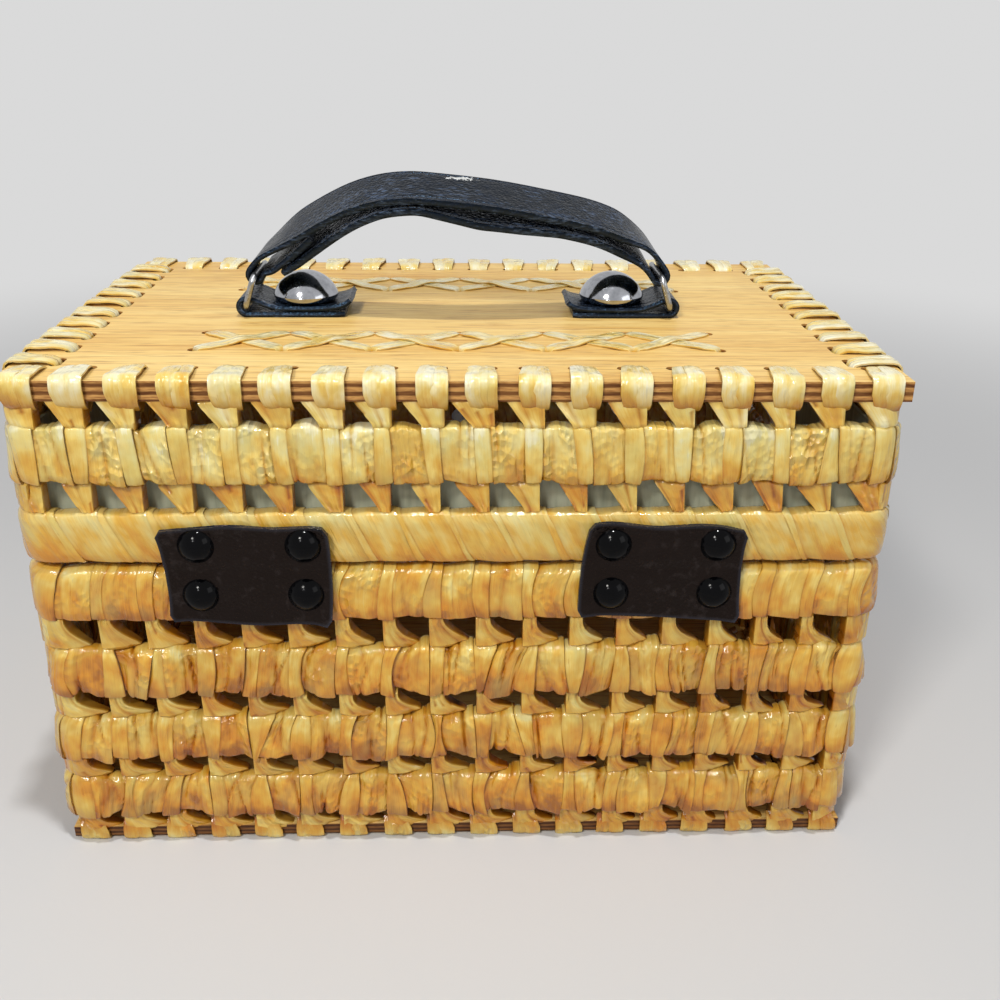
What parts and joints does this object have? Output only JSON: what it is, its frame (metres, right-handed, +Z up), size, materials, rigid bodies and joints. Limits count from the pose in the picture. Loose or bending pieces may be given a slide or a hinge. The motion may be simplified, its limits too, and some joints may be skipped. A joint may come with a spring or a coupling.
{
  "type": "wicker train case",
  "caption": "Box-shaped travel case with wrapped coil walls, laced plywood lid and base, riveted leather hinges and a leather strap handle.",
  "frame": {"origin": "middle of the underside, on the surface that the case stands on", "axes": "+Z up, +X along the length, -Y towards the hinge side, +Y towards the closure side"},
  "size_m": [0.309, 0.211, 0.2403],
  "materials": {
    "leaf": "varnished",
    "pale_leaf": "varnished",
    "plywood": "satin",
    "black_leather": "satin",
    "black_enamel": "gloss",
    "chrome": "polished",
    "wire_steel": "satin",
    "liner": "matt"
  },
  "bodies": {
    "case_body": {"base_panel": "plywood", "base_edge_lacing": "leaf", "bottom_coil": "leaf", "lower_lashing": "leaf", "lower_coil": "leaf", "middle_lashing": "leaf", "upper_coil": "leaf", "upper_lashing": "leaf", "body_rim_coil": "leaf", "hinge_leather_left": "black_leather", "hinge_leather_right": "black_leather", "hinge_studs_body": "black_enamel", "turn_post": "wire_steel"},
    "lid": {"lid_rim_coil": "pale_leaf", "lid_lashing": "leaf", "lid_upper_coil": "leaf", "lid_edge_lacing": "leaf", "lid_panel": "plywood", "lid_liner": "liner", "cross_stitch_rear": "leaf", "cross_stitch_front": "leaf", "handle_tab_left": "black_leather", "handle_tab_right": "black_leather", "handle_stud_left": "chrome", "handle_stud_right": "chrome", "handle_nut_left": "wire_steel", "handle_nut_right": "wire_steel", "hinge_studs_lid": "black_enamel", "closure_tab": "black_leather", "closure_studs": "black_enamel"},
    "left_ring": {"handle_ring_left": "wire_steel"},
    "right_ring": {"handle_ring_right": "wire_steel"},
    "strap": {"handle_strap": "black_leather"},
    "turn_button": {"turn_button": "chrome"}
  },
  "joints": [
    {"name": "lid_hinge", "type": "hinge", "parent": "case_body", "child": "lid", "pos_m": [0, -0.1005, 0.1203], "axis": [1, 0, 0], "range_deg": [0, 100], "deforming": ["hinge_leather_left", "hinge_leather_right", "closure_tab"]},
    {"name": "handle_sway", "type": "hinge", "parent": "lid", "child": "left_ring", "pos_m": [-0.084, 0, 0.19165], "axis": [0, 1, 0], "range_deg": [-15, 15]},
    {"name": "strap_pivot", "type": "hinge", "parent": "left_ring", "child": "strap", "pos_m": [-0.07998, 0, 0.20401], "axis": [0, 1, 0], "range_deg": [-16, 16]},
    {"name": "right_ring_pivot", "type": "hinge", "parent": "lid", "child": "right_ring", "pos_m": [0.084, 0, 0.19165], "axis": [0, 1, 0], "range_deg": [-15, 15]},
    {"name": "button_turn", "type": "hinge", "parent": "case_body", "child": "turn_button", "pos_m": [0, 0.1055, 0.1108], "axis": [0, 1, 0], "range_deg": [0, 90]}
  ],
  "couplings": [
    {"joint": "strap_pivot", "follows": "handle_sway", "ratio": -1.0502},
    {"joint": "right_ring_pivot", "follows": "handle_sway", "ratio": 1}
  ]
}
